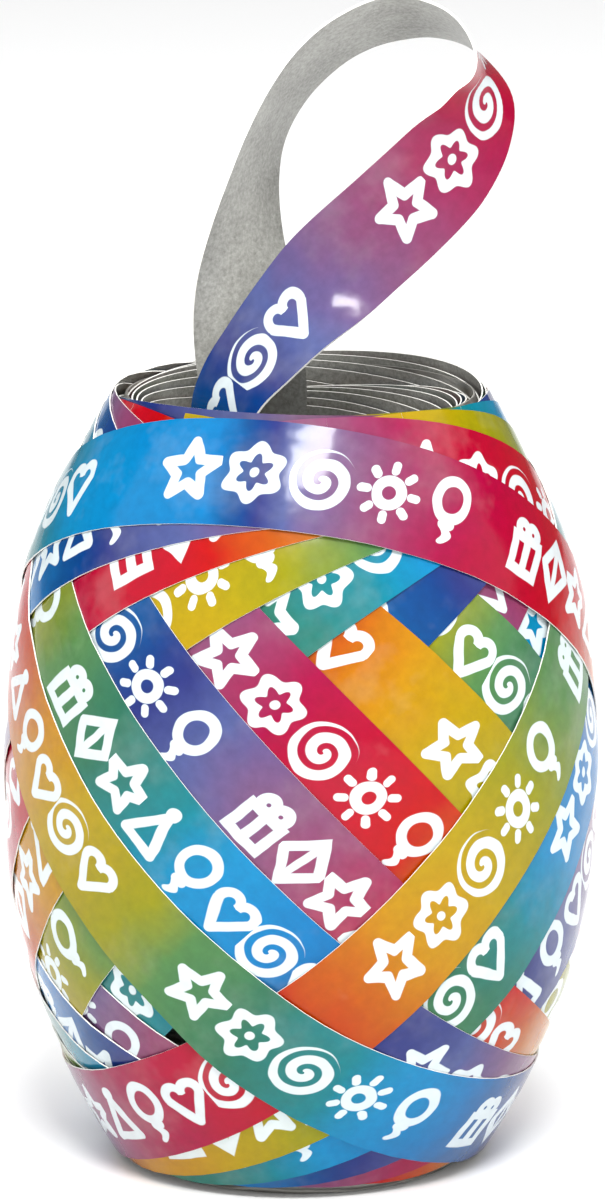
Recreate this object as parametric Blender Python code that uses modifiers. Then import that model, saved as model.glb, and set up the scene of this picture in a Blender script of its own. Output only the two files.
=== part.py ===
"""A coreless egg of wound gift ribbon with a hanging loop of the same ribbon.

One narrow ribbon is cross-wound over a barrel: it runs down the barrel on a slant, rounds
the lower end, climbs back on the opposite slant, rounds the upper end, and starts again a
few degrees further on. The egg stands on the flat ring at its lower end, its axis is +Z,
and the origin is the centre of that ring. -Y is the front.
"""

import colorsys
import math

import bmesh
import bpy
import numpy as np

# --- driving dimensions, in metres -------------------------------------------------------
RIBBON_WIDTH = 0.010
RIBBON_THICKNESS = 0.0001
LOOP_THICKNESS = 0.00025

EGG_HEIGHT = 0.074
CORE_RADIUS = 0.0233
CORE_RIM_RADIUS = 0.0163
HALF_HEIGHT = EGG_HEIGHT / 2

# The end cone would reach the full radius over this height, and a soft shoulder joins the two.
END_CONE_RUN = 0.0151
CORE_GROWTH = CORE_RADIUS - CORE_RIM_RADIUS
CONE_SLOPE = CORE_GROWTH / END_CONE_RUN
BARREL_BULGE = 328.6 * CORE_GROWTH
SHOULDER_SOFTNESS = 0.325 * CORE_GROWTH

# The winding: where it turns back, how far one half pass goes round, and where it ends.
CREST_RADIUS = CORE_RIM_RADIUS + 0.35 * CORE_GROWTH
HALF_PASSES = 27
STATIONS_PER_HALF_PASS = 26
CREST_CROWDING = 0.25
POINTS_ACROSS = 3
HALF_PASS_AZIMUTH = 263.9
LAST_CREST_AZIMUTH = -17.0
END_GAP = 0.0003
PATH_STEP = 0.0002

# A flat facet across the ribbon stands further off a tighter barrel, so the gap grows with that.
LAY_GAP = 0.0008155 * (RIBBON_WIDTH / CORE_RADIUS) ** 2
SLOPE_REACH = 0.00001

PACK_CLEARANCE = 0.0003
PACK_STEPS_ROUND = 72
PACK_SIDE_STATIONS = 22
HOLLOW_RADIUS = 0.0101
FOOT_RING_STEP = 0.0017
FOOT_RECESS_DEPTH = 0.006
FOOT_EDGE = 0.001

# The turns in the mouth step from the rim's wall in to the hollow.
INNER_TURNS = 8
INNER_STATIONS = 30
INNER_TURN_SHARE = 0.985
RIM_WALL = 0.0006
HOLLOW_LEDGE = 0.00018
INNER_LEAN = 0.43 * math.atan(CONE_SLOPE)
INNER_TOP_RADIUS = CORE_RIM_RADIUS - RIM_WALL
INNER_TOP_DROP = 0.0014
INNER_STEP_IN = (INNER_TOP_RADIUS - HOLLOW_RADIUS - HOLLOW_LEDGE) / INNER_TURNS
INNER_STEP_DOWN = 0.0008

# The first turn of all, against the hollow's wall.
LEAD_TURN_CLEARANCE = 0.0006
LEAD_TURN_LOW = 0.216 * EGG_HEIGHT
LEAD_TURN_HIGH = 0.54 * EGG_HEIGHT
LEAD_TURN_START = -60.0
LEAD_TURN_STATIONS = 32

# The loop's legs stand in the hollow, their left edge near its wall.
LEG_WALL_GAP = 0.0007
LEG_X = -(HOLLOW_RADIUS - RIBBON_WIDTH / 2 - LEG_WALL_GAP)
LEG_HALF_SPACING = 0.0008
LEG_TOP = EGG_HEIGHT - 0.0023
LEG_LENGTH = 0.284 * EGG_HEIGHT
LEG_STATIONS = 4
PIVOT_GAP = 0.0013
GLUE_DOT_RADIUS = 0.0032
GLUE_DOT_THICKNESS = 0.0011
GLUE_DOT_UP = 0.006
GLUE_DOT_SIDES = 20

LOOP_STEP = 0.0027
LOOP_CURVE_STEPS = 12

SHARP_ANGLE = math.radians(30)
GLOSS = 0.22
MATT = 0.65

# The hanging loop, seen from between the tops of its legs: the ribbon's centre, then the
# direction from the centre to its first edge. It leaves the hollow behind, goes up, over to
# the right, and comes down in front.
LOOP_ROUTE = (
    ((0.0000, 0.0008, 0.0013), (-1.00, 0.00, 0.00)),
    ((-0.0004, 0.0011, 0.0048), (-1.00, -0.05, 0.00)),
    ((-0.0007, 0.0016, 0.0098), (-0.93, -0.36, 0.05)),
    ((-0.0007, 0.0021, 0.0148), (-0.70, -0.70, 0.12)),
    ((-0.0001, 0.0024, 0.0196), (-0.48, -0.86, 0.16)),
    ((0.0010, 0.0026, 0.0239), (-0.32, -0.90, 0.26)),
    ((0.0028, 0.0027, 0.0276), (-0.22, -0.89, 0.38)),
    ((0.0052, 0.0027, 0.0308), (-0.16, -0.87, 0.46)),
    ((0.0087, 0.0025, 0.0337), (-0.10, -0.86, 0.50)),
    ((0.0134, 0.0023, 0.0354), (-0.02, -0.86, 0.51)),
    ((0.0176, 0.0020, 0.0348), (0.05, -0.93, 0.36)),
    ((0.0204, 0.0016, 0.0326), (-0.10, -0.96, 0.24)),
    ((0.0216, 0.0010, 0.0293), (-0.40, -0.80, 0.45)),
    ((0.0204, 0.0001, 0.0254), (-0.67, -0.62, 0.41)),
    ((0.0176, -0.0009, 0.0219), (-0.84, -0.27, 0.47)),
    ((0.0132, -0.0019, 0.0176), (-0.72, -0.02, 0.69)),
    ((0.0090, -0.0027, 0.0139), (-0.77, 0.10, 0.63)),
    ((0.0038, -0.0030, 0.0089), (-0.74, 0.35, 0.57)),
    ((0.0014, -0.0026, 0.0057), (-0.86, 0.20, 0.40)),
    ((0.0003, -0.0016, 0.0034), (-0.97, 0.05, 0.15)),
    ((0.0000, -0.0008, 0.0013), (-1.00, 0.00, 0.00)),
)


def clear_scene():
    for item in list(bpy.data.objects):
        bpy.data.objects.remove(item, do_unlink=True)


def new_collection(name):
    group = bpy.data.collections.new(name)
    bpy.context.scene.collection.children.link(group)
    return group


def finish_of(name, colour, roughness):
    finish = bpy.data.materials.new(name)
    finish.use_nodes = True
    shader = finish.node_tree.nodes["Principled BSDF"]
    shader.inputs["Base Color"].default_value = (*colour, 1.0)
    shader.inputs["Roughness"].default_value = roughness
    shader.inputs["Metallic"].default_value = 0.0
    return finish


# --- the barrel that the outer turns lie on ------------------------------------------------
def core_radius(height):
    """Radius of the barrel at a height above its middle: a bulged side that meets an end cone."""
    height = np.abs(height)
    side = CORE_RADIUS - BARREL_BULGE * height**2
    cone = CORE_RIM_RADIUS + CONE_SLOPE * (HALF_HEIGHT - height)
    soft = SHOULDER_SOFTNESS
    return -soft * np.logaddexp(-side / soft, -cone / soft)


def core_slope(height):
    reach = SLOPE_REACH
    return (core_radius(height + reach) - core_radius(height - reach)) / (2 * reach)


def core_distance(radius, height):
    """Height above the barrel's surface, and where the foot of that perpendicular is."""
    foot = height
    for _ in range(6):
        foot = height + core_slope(foot) * (radius - core_radius(foot))
    slope = core_slope(foot)
    return (radius - core_radius(foot)) * np.sqrt(1 + slope**2), foot


def climb_rate_squared(height):
    """Square of the climb for each metre of ribbon, on the path that a taut ribbon takes."""
    return (1 - (CREST_RADIUS / core_radius(height)) ** 2) / (1 + core_slope(height) ** 2)


def taut_path(half_passes):
    """A taut ribbon's centre line, crest to foot to crest: azimuths, heights and lengths."""
    reach, step = SLOPE_REACH, PATH_STEP
    azimuth, height = 0.0, 0.0
    climb = -math.sqrt(climb_rate_squared(0.0))
    azimuths, heights, climbs = [azimuth], [height], [climb]
    turns_left = half_passes + 1
    while turns_left:
        before = climb
        pull = climb_rate_squared(height + reach) - climb_rate_squared(height - reach)
        climb += step * pull / (4 * reach)
        height += step * climb
        azimuth += step * CREST_RADIUS / float(core_radius(height)) ** 2
        azimuths.append(azimuth)
        heights.append(height)
        climbs.append(climb)
        if before * climb <= 0:
            turns_left -= 1
    ends = [i for i in range(1, len(climbs)) if climbs[i - 1] * climbs[i] <= 0]
    first, last = ends[0], ends[half_passes]
    lengths = np.arange(last - first + 1) * step
    marks = (np.array(ends[: half_passes + 1]) - first) * step
    return np.array(azimuths[first : last + 1]), np.array(heights[first : last + 1]), lengths, marks


def winding_stations():
    """Azimuth and height of every station of the outer winding, in the order it was wound."""
    azimuths, heights, lengths, marks = taut_path(HALF_PASSES)
    share = np.arange(STATIONS_PER_HALF_PASS) / STATIONS_PER_HALF_PASS
    wanted = np.concatenate(
        [
            a + (b - a) * (share - CREST_CROWDING * np.sin(math.tau * share) / math.tau)
            for a, b in zip(marks[:-1], marks[1:])
        ]
        + [marks[-1:]]
    )
    turn = np.interp(wanted, lengths, azimuths)
    turn *= math.radians(HALF_PASS_AZIMUTH) * HALF_PASSES / (turn[-1] - turn[0])
    high = np.interp(wanted, lengths, heights)
    last_crest = turn[(HALF_PASSES - 1) * STATIONS_PER_HALF_PASS]
    turn = turn - last_crest + math.radians(LAST_CREST_AZIMUTH)
    return turn, -high


def around(azimuth, radius, height):
    """A point from its azimuth (0 at the front, growing to the right), radius and height."""
    return np.stack(
        [
            radius * np.sin(azimuth),
            -radius * np.cos(azimuth),
            height * np.ones_like(azimuth),
        ],
        axis=-1,
    )


def on_core(points):
    """The points of the barrel's surface nearest to some points, and the normals there."""
    azimuth = np.arctan2(points[..., 0], -points[..., 1])
    _, foot = core_distance(np.hypot(points[..., 0], points[..., 1]), points[..., 2])
    slope = core_slope(foot)
    length = np.sqrt(1 + slope**2)
    outward = around(azimuth, 1 / length, 0.0)
    outward[..., 2] = -slope / length
    return around(azimuth, core_radius(foot), foot), outward


def ribbon_on_core(turn, high):
    """Points across the ribbon at each station, snug on the barrel, and the normals there."""
    centre = around(turn, core_radius(high), high)
    _, outward = on_core(centre)
    along = np.gradient(centre, axis=0)
    along /= np.linalg.norm(along, axis=1, keepdims=True)
    width = np.cross(along, outward)
    across = np.linspace(-1, 1, POINTS_ACROSS)[None, :, None] * RIBBON_WIDTH / 2
    return on_core(centre[:, None] + across * width[:, None])


class LaidSurface:
    """How far the ribbon laid so far stands above the barrel, on a grid of azimuth and height."""

    CELLS_ROUND = 960
    CELL_HEIGHT = 0.00025

    def __init__(self):
        self.rows = int(EGG_HEIGHT * 1.2 / self.CELL_HEIGHT)
        self.top = np.zeros((self.CELLS_ROUND, self.rows))

    def cells(self, points):
        radius = np.hypot(points[..., 0], points[..., 1])
        above, foot = core_distance(radius, points[..., 2])
        azimuth = np.arctan2(points[..., 0], -points[..., 1])
        column = np.round(azimuth / math.tau * self.CELLS_ROUND).astype(int) % self.CELLS_ROUND
        row = np.round(foot / self.CELL_HEIGHT).astype(int) + self.rows // 2
        return column, np.clip(row, 1, self.rows - 2), above

    def need(self, points):
        """How far each point of a facet must rise to clear what is laid."""
        column, row, above = self.cells(points)
        found = self.top[column, row]
        for shift in (-1, 1):
            found = np.maximum(found, self.top[(column + shift) % self.CELLS_ROUND, row])
            found = np.maximum(found, self.top[column, row + shift])
        return found - above

    def add(self, points, thickness):
        column, row, above = self.cells(points)
        np.maximum.at(self.top, (column, row), above + thickness)

    def copy(self):
        twin = LaidSurface()
        twin.top = self.top.copy()
        return twin


ALONG = np.linspace(0, 1, 30)[:, None, None]
ACROSS = np.linspace(0, 1, 30)[None, :, None]
CORNER_SHARES = np.stack(
    [(1 - ALONG) * (1 - ACROSS), (1 - ALONG) * ACROSS, ALONG * (1 - ACROSS), ALONG * ACROSS]
)[..., 0]
RAISE_ROUNDS = 8
CORNER_REACH = CORNER_SHARES / CORNER_SHARES.max(0)


def patch(snug, outward, lift, i, j):
    """Points spread over one facet of the ribbon, between stations i and i + 1."""
    corners = [
        snug[a, b] + outward[a, b] * lift[a, b]
        for a, b in ((i, j), (i, j + 1), (i + 1, j), (i + 1, j + 1))
    ]
    low = corners[0] * (1 - ACROSS) + corners[1] * ACROSS
    high = corners[2] * (1 - ACROSS) + corners[3] * ACROSS
    return low * (1 - ALONG) + high * ALONG


def raise_corners(corners, need):
    """The least lifts of a facet's corners, from where they are, that give it what it needs."""
    most = np.maximum(corners, need.max())
    for _ in range(RAISE_ROUNDS):
        lack = need - (CORNER_SHARES * corners[:, None, None]).sum(0)
        if lack.max() <= 0:
            return corners
        step = (CORNER_REACH * np.maximum(lack, 0.0)).max(axis=(1, 2))
        corners = np.minimum(corners + step, most)
    return most


def lay_winding(turn, high):
    """Lift each point of the ribbon until it clears what lies under it, pass by pass."""
    snug, outward = ribbon_on_core(turn, high)
    count = len(turn)
    flat = np.zeros((count, POINTS_ACROSS))
    lift = flat.copy()
    laid = LaidSurface()
    before = laid.copy()
    joined = 3
    for start in range(0, count - 1, STATIONS_PER_HALF_PASS):
        stop = min(start + STATIONS_PER_HALF_PASS, count - 1)
        for i in range(start, min(stop + joined, count - 1)):
            under = before if i < start + joined else laid
            for j in range(POINTS_ACROSS - 1):
                need = under.need(patch(snug, outward, flat, i, j))
                facet = lift[i : i + 2, j : j + 2]
                facet[:] = raise_corners(facet.ravel(), need).reshape(2, 2)
        before = laid.copy()
        for i in range(start, stop):
            for j in range(POINTS_ACROSS - 1):
                laid.add(patch(snug, outward, lift, i, j), RIBBON_THICKNESS + LAY_GAP)
    return snug + outward * lift[..., None]


# --- pieces ---------------------------------------------------------------------------------
def ribbon_strip(name, collection, rows, thickness, finish, offset=1.0):
    """A strip from its points across at each station, thickened to a closed solid."""
    sheet = bmesh.new()
    rows = [[sheet.verts.new(p) for p in row] for row in rows]
    for low, high in zip(rows[:-1], rows[1:]):
        for k in range(len(low) - 1):
            sheet.faces.new((low[k], low[k + 1], high[k + 1], high[k]))
    mesh = bpy.data.meshes.new(name)
    sheet.to_mesh(mesh)
    sheet.free()
    mesh.shade_smooth()
    mesh.set_sharp_from_angle(angle=SHARP_ANGLE)
    strip = bpy.data.objects.new(name, mesh)
    strip.data.materials.append(finish)
    collection.objects.link(strip)
    wall = strip.modifiers.new("ribbon_thickness", "SOLIDIFY")
    wall.thickness = thickness
    wall.offset = offset
    return strip


def outer_turns(collection):
    """The turns that show: each node is one wrap, from an upper crest down and back up."""
    laid = lay_winding(*winding_stations()) + np.array([0.0, 0.0, HALF_HEIGHT])
    wraps = math.ceil(HALF_PASSES / 2)
    per_wrap = 2 * STATIONS_PER_HALF_PASS
    for k in range(wraps):
        rows = laid[k * per_wrap : (k + 1) * per_wrap + 1, ::-1].copy()
        ahead = rows[-1] - rows[-2]
        rows[-1] -= ahead / np.linalg.norm(ahead, axis=1, keepdims=True) * END_GAP
        colour = colorsys.hsv_to_rgb((k * 5 % wraps) / wraps, 0.75, 0.8)
        finish = finish_of(f"printed_film_{k + 1:02d}", colour, GLOSS)
        ribbon_strip(f"outer_turn_{k + 1:02d}", collection, rows, RIBBON_THICKNESS, finish)


def turned_body(name, collection, profile, finish):
    """A closed profile of radius and height, turned about the Z axis."""
    outline = bmesh.new()
    points = [outline.verts.new((r, 0.0, z)) for r, z in profile]
    for a, b in zip(points, points[1:] + points[:1]):
        outline.edges.new((a, b))
    mesh = bpy.data.meshes.new(name)
    outline.to_mesh(mesh)
    outline.free()
    body = bpy.data.objects.new(name, mesh)
    body.data.materials.append(finish)
    collection.objects.link(body)
    screw = body.modifiers.new("turn", "SCREW")
    screw.steps = PACK_STEPS_ROUND
    screw.render_steps = PACK_STEPS_ROUND
    screw.use_merge_vertices = True
    screw.merge_threshold = 0.00001
    screw.use_smooth_shade = True
    return body


def ring_drop():
    """How far out and down a turn in the mouth reaches from its upper edge."""
    return RIBBON_WIDTH * math.sin(INNER_LEAN), RIBBON_WIDTH * math.cos(INNER_LEAN)


def wound_pack(collection):
    """The windings under the outer turns: a thick barrel with a hollow down its middle."""
    out, down = ring_drop()
    side = [
        (float(core_radius(h)) - PACK_CLEARANCE, h + HALF_HEIGHT)
        for h in np.linspace(HALF_HEIGHT - INNER_TOP_DROP, -HALF_HEIGHT, PACK_SIDE_STATIONS)
    ]
    side = [(r, z) for r, z in side if z > FOOT_EDGE]
    foot_radius = float(core_radius(HALF_HEIGHT)) - 2 * PACK_CLEARANCE
    foot = [
        (foot_radius, 0.0),
        (HOLLOW_RADIUS + FOOT_RING_STEP, 0.0),
        (HOLLOW_RADIUS, FOOT_RECESS_DEPTH),
    ]
    gap = 2 * PACK_CLEARANCE
    top = EGG_HEIGHT - INNER_TOP_DROP
    last_radius = INNER_TOP_RADIUS - INNER_TURNS * INNER_STEP_IN
    last_top = top - INNER_TURNS * INNER_STEP_DOWN
    collar = [
        (HOLLOW_RADIUS, last_top - down - gap),
        (last_radius + out, last_top - down - gap),
        (INNER_TOP_RADIUS + out + gap, top - down - gap),
        (INNER_TOP_RADIUS + PACK_CLEARANCE, top),
    ]
    finish = finish_of("wound_film", (0.62, 0.6, 0.62), MATT)
    turned_body("wound_pack", collection, side + foot + collar, finish)


def inner_turns(collection):
    """The crests seen in the mouth: one ribbon spiralling inwards and down like a stair."""
    out, down = ring_drop()
    for k in range(INNER_TURNS):
        share = (np.arange(INNER_STATIONS + 1) / INNER_STATIONS) * INNER_TURN_SHARE + k
        azimuth = share * math.tau
        radius = INNER_TOP_RADIUS - share * INNER_STEP_IN
        high = EGG_HEIGHT - INNER_TOP_DROP - share * INNER_STEP_DOWN
        upper = around(azimuth, radius, 0.0) + high[:, None] * np.array([0, 0, 1.0])
        lower = around(azimuth, radius + out, 0.0) + (high - down)[:, None] * np.array([0, 0, 1.0])
        shade = 0.5 + 0.03 * k
        finish = finish_of(f"reverse_film_{k + 1:02d}", (shade, shade, shade), MATT)
        rows = np.stack([lower, upper], axis=1)
        ribbon_strip(f"inner_turn_{k + 1:02d}", collection, rows, RIBBON_THICKNESS, finish)


def innermost_turn(collection):
    """The first turn of all, lying free against the hollow's wall on its way up to the loop."""
    share = np.arange(LEAD_TURN_STATIONS + 1) / LEAD_TURN_STATIONS
    azimuth = math.radians(LEAD_TURN_START) + share * math.tau
    radius = HOLLOW_RADIUS - LEAD_TURN_CLEARANCE
    high = LEAD_TURN_LOW + share * (LEAD_TURN_HIGH - LEAD_TURN_LOW)
    centre = around(azimuth, radius * np.ones_like(azimuth), 0.0)
    centre[:, 2] = high
    rise = (LEAD_TURN_HIGH - LEAD_TURN_LOW) / math.tau
    slant = math.atan2(rise, radius)
    side = around(azimuth + math.pi / 2, math.sin(slant), 0.0)
    width = -side
    width[:, 2] = math.cos(slant)
    half = width * RIBBON_WIDTH / 2
    finish = finish_of("reverse_film_inmost", (0.7, 0.7, 0.7), MATT)
    rows = np.stack([centre - half, centre + half], axis=1)
    ribbon_strip("innermost_turn", collection, rows, RIBBON_THICKNESS, finish)


def smooth_route(route, step):
    """Even stations on one smooth curve through the route's own points and directions."""
    given = np.array([(*p, *w) for p, w in route])
    padded = np.vstack([2 * given[0] - given[1], given, 2 * given[-1] - given[-2]])
    fine = []
    for a, b, c, d in zip(padded[:-3], padded[1:-2], padded[2:-1], padded[3:]):
        for t in np.linspace(0, 1, LOOP_CURVE_STEPS, endpoint=False):
            fine.append(
                0.5 * (2 * b + (c - a) * t + (2 * a - 5 * b + 4 * c - d) * t**2)
                + 0.5 * (3 * b - a - 3 * c + d) * t**3
            )
    fine = np.array(fine + [given[-1]])
    run = np.concatenate([[0], np.cumsum(np.linalg.norm(np.diff(fine[:, :3], axis=0), axis=1))])
    count = max(2, round(run[-1] / step))
    even = np.linspace(0, run[-1], count + 1)
    found = np.stack([np.interp(even, run, fine[:, k]) for k in range(6)], axis=1)
    centre, width = found[:, :3], found[:, 3:]
    along = np.gradient(centre, axis=0)
    along /= np.linalg.norm(along, axis=1, keepdims=True)
    width -= along * (width * along).sum(1, keepdims=True)
    width /= np.linalg.norm(width, axis=1, keepdims=True)
    return centre, width


def hanging_loop(collection):
    """The loop that stands out of the mouth, from one leg's top to the other's."""
    pivot = bpy.data.objects.new("loop_pivot", None)
    pivot.location = (LEG_X, 0.0, LEG_TOP + PIVOT_GAP / 2)
    collection.objects.link(pivot)
    centre, width = smooth_route(LOOP_ROUTE, LOOP_STEP)
    half = width * RIBBON_WIDTH / 2
    centre += np.array([0.0, 0.0, -PIVOT_GAP / 2])
    finish = finish_of("printed_film_loop", (0.62, 0.12, 0.3), GLOSS)
    rows = np.stack([centre - half, centre + half], axis=1)
    loop = ribbon_strip("hanging_loop", collection, rows, LOOP_THICKNESS, finish, offset=0.0)
    loop.parent = pivot


def loop_legs(collection):
    """The two legs of the loop inside the hollow, stuck together by a dot of glue."""
    for name, side in (("loop_leg_back", 1), ("loop_leg_front", -1)):
        y = side * LEG_HALF_SPACING
        heights = np.linspace(LEG_TOP, LEG_TOP - LEG_LENGTH, LEG_STATIONS)
        rows = [[(LEG_X + s * RIBBON_WIDTH / 2, y, z) for s in (-1, 1)] for z in heights]
        finish = finish_of(f"film_{name}", (0.3, 0.15, 0.4), GLOSS)
        ribbon_strip(name, collection, rows, LOOP_THICKNESS, finish, offset=0.0)
    bpy.ops.mesh.primitive_cylinder_add(
        vertices=GLUE_DOT_SIDES,
        radius=GLUE_DOT_RADIUS,
        depth=GLUE_DOT_THICKNESS,
        location=(LEG_X, 0.0, LEG_TOP - LEG_LENGTH + GLUE_DOT_UP),
        rotation=(math.radians(90), 0.0, 0.0),
    )
    dot = bpy.context.active_object
    dot.name = "glue_dot"
    dot.data.name = "glue_dot"
    dot.data.materials.append(finish_of("clear_glue", (0.85, 0.83, 0.75), GLOSS))
    for group in list(dot.users_collection):
        group.objects.unlink(dot)
    collection.objects.link(dot)


def build():
    clear_scene()
    parts = new_collection("ribbon_egg")
    wound_pack(parts)
    inner_turns(parts)
    innermost_turn(parts)
    loop_legs(parts)
    hanging_loop(parts)
    outer_turns(parts)


build()
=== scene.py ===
# %% [markdown]
# # A wound ribbon egg with a hanging loop
#
# The object is one long gift ribbon, ten millimetres wide, cross-wound into a hollow egg. Its
# outer face is a glossy film with a watercolour rainbow and small white party drawings, its
# reverse is a plain grey-white, and its cut edges are white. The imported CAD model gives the
# frame: where the egg stands, how big it is, and how its loop moves. This script gives the looks.

# %% Load the frame
import math

import bpy
import numpy as np
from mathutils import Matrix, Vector


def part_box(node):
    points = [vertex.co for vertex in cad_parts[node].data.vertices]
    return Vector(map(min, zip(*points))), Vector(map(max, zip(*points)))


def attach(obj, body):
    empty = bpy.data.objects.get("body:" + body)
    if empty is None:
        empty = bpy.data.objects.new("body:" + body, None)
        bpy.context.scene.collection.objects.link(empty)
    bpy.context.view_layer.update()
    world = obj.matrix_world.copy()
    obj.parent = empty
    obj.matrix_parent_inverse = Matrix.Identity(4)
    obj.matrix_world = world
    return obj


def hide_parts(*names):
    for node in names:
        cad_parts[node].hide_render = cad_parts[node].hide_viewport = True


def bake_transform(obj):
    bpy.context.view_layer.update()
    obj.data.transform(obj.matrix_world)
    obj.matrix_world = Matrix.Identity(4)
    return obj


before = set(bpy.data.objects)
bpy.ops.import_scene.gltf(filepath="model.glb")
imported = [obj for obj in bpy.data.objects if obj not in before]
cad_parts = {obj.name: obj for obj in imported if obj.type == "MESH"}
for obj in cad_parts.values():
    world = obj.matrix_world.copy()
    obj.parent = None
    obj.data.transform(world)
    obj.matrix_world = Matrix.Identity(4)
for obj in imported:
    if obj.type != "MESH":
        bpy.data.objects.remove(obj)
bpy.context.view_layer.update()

pack_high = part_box("wound_pack")[1]
MM = 0.001

# %% [markdown]
# ## The camera
#
# A product picture of something this small is taken with a long lens from a little above, so
# that upright lines stay upright. The camera aims at a point on the egg's axis, between the
# middle of the egg and the top of the loop. A camera looks along its own -Z, so its rotation
# comes from the direction of sight with `to_track_quat`.

# %% Camera
CAMERA_DISTANCE = 0.62
CAMERA_ELEVATION = math.radians(12)
VIEW_HEIGHT = 0.1118
AIM = Vector((0.0002, 0.0, 0.0529))

camera_data = bpy.data.cameras.new("product_camera")
camera = bpy.data.objects.new("product_camera", camera_data)
bpy.context.scene.collection.objects.link(camera)
sight = Vector((0, -math.cos(CAMERA_ELEVATION), math.sin(CAMERA_ELEVATION)))
camera.location = AIM + sight * CAMERA_DISTANCE
camera.rotation_mode = "QUATERNION"
camera.rotation_quaternion = (-sight).to_track_quat("-Z", "Y")
camera_data.lens = camera_data.sensor_width * CAMERA_DISTANCE / VIEW_HEIGHT
camera_data.clip_start = 0.01
camera_data.clip_end = 20
bpy.context.scene.camera = camera
print("lens in mm:", round(camera_data.lens, 1))

# %% [markdown]
# ## The barrel that the ribbon is wound on
#
# The egg is a turned shape: a bulged side that runs into an end cone at each end. Two simple
# curves of radius against height are joined by a soft minimum, which rounds the shoulder. All
# the ribbon is laid on this surface, so a few helpers answer where its surface is, which way it
# faces, and how far a point stands above it.

# %% The barrel's surface
EGG_HEIGHT = pack_high.z + 0.0014
HALF_HEIGHT = EGG_HEIGHT / 2
RIBBON_WIDTH = 0.010
RIBBON_THICKNESS = 0.00013
CORE_RADIUS = 0.0273
CORE_RIM_RADIUS = 0.0164
BARREL_BULGE = 2.3
CONE_SLOPE = 0.53
SHOULDER_SOFTNESS = 0.0026
REACH = 1e-5


def core_radius(height):
    height = np.abs(height)
    side = CORE_RADIUS - BARREL_BULGE * height**2
    cone = CORE_RIM_RADIUS + CONE_SLOPE * (HALF_HEIGHT - height)
    soft = SHOULDER_SOFTNESS
    return -soft * np.logaddexp(-side / soft, -cone / soft)


def core_slope(height):
    return (core_radius(height + REACH) - core_radius(height - REACH)) / (2 * REACH)


def core_distance(radius, height):
    """How far a point stands above the barrel, and the height of the foot under it."""
    foot = height
    for _ in range(5):
        foot = height + core_slope(foot) * (radius - core_radius(foot))
    return (radius - core_radius(foot)) * np.sqrt(1 + core_slope(foot) ** 2), foot


def around(azimuth, radius, height):
    """A point from its azimuth (0 at the front, growing to the right), radius and height."""
    azimuth, radius, height = np.broadcast_arrays(azimuth, radius, height)
    return np.stack([radius * np.sin(azimuth), -radius * np.cos(azimuth), height], axis=-1)


def on_core(points):
    """The nearest points of the barrel's surface, and the normals there."""
    azimuth = np.arctan2(points[..., 0], -points[..., 1])
    _, foot = core_distance(np.hypot(points[..., 0], points[..., 1]), points[..., 2])
    slope = core_slope(foot)
    length = np.sqrt(1 + slope**2)
    return around(azimuth, core_radius(foot), foot), around(azimuth, 1 / length, -slope / length)


print("barrel radius in mm:", round(float(core_radius(0.0)) / MM, 2))

# %% [markdown]
# ## The path of the ribbon
#
# A taut ribbon takes the shortest way over the barrel. On a turned surface that path obeys one
# rule: radius times the cosine of its slope stays the same. So it crosses the middle on a slant
# of some 40 degrees, flattens as the radius shrinks, and turns back where the radius equals
# that constant. Stepping the rule along the ribbon gives the whole winding. One crest-to-foot
# pass goes a little under three quarters of the way round, so each turn lands beside an
# earlier one.

# %% The winding's centre line
CREST_RADIUS = 0.0191
HALF_PASSES = 27
HALF_PASS_AZIMUTH = math.radians(263.9)
LAST_CREST_AZIMUTH = math.radians(-17)
STATIONS = 60
PATH_STEP = 0.00005
WANDER = 0.00022
LONG_WAVE, SHORT_WAVE, SIDE_WAVE = 2.3, 5.1, 3.7


def climb_rate_squared(height):
    return (1 - (CREST_RADIUS / core_radius(height)) ** 2) / (1 + core_slope(height) ** 2)


def one_pass():
    """One pass from the upper crest to the lower one: azimuth, height and length along it."""
    azimuth, height, run = 0.0, 0.0, 0.0
    climb = math.sqrt(climb_rate_squared(0.0))
    rows = [(azimuth, height, run)]
    while climb > 0:
        pull = climb_rate_squared(height + REACH) - climb_rate_squared(height - REACH)
        climb += PATH_STEP * float(pull) / (4 * REACH)
        height += PATH_STEP * climb
        azimuth += PATH_STEP * CREST_RADIUS / float(core_radius(height)) ** 2
        run += PATH_STEP
        rows.append((azimuth, height, run))
    quarter = np.array(rows)
    rest = quarter[::-1] * [-1, 1, -1]
    whole = np.vstack([rest[:-1], quarter * [1, -1, 1]])
    return whole - [whole[0, 0], 0, whole[0, 2]]


pass_shape = one_pass()
PASS_LENGTH = float(pass_shape[-1, 2])


def winding():
    """Azimuth, height and length along the ribbon of every station, in winding order."""
    share = np.arange(STATIONS) / STATIONS
    along = np.concatenate([(k + share) * PASS_LENGTH for k in range(HALF_PASSES)])
    along = np.append(along, HALF_PASSES * PASS_LENGTH)
    number = np.minimum(along // PASS_LENGTH + 1e-9, HALF_PASSES - 1).astype(int)
    inside = along - number * PASS_LENGTH
    stretch = HALF_PASS_AZIMUTH / pass_shape[-1, 0]
    azimuth = np.interp(inside, pass_shape[:, 2], pass_shape[:, 0]) * stretch
    azimuth += (number - (HALF_PASSES - 1)) * HALF_PASS_AZIMUTH + LAST_CREST_AZIMUTH
    height = np.interp(inside, pass_shape[:, 2], pass_shape[:, 1])
    height *= np.where(number % 2 == 0, 1, -1)
    wave = along / PASS_LENGTH
    height += WANDER * np.sin(LONG_WAVE * wave + 0.7) * np.cos(SHORT_WAVE * wave)
    azimuth += WANDER / CORE_RADIUS * np.sin(SIDE_WAVE * wave + 1.9)
    return azimuth, height, along


turn, high, along_ribbon = winding()
print("one pass in mm:", round(PASS_LENGTH / MM, 1), "in all, m:", round(along_ribbon[-1], 2))

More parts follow.
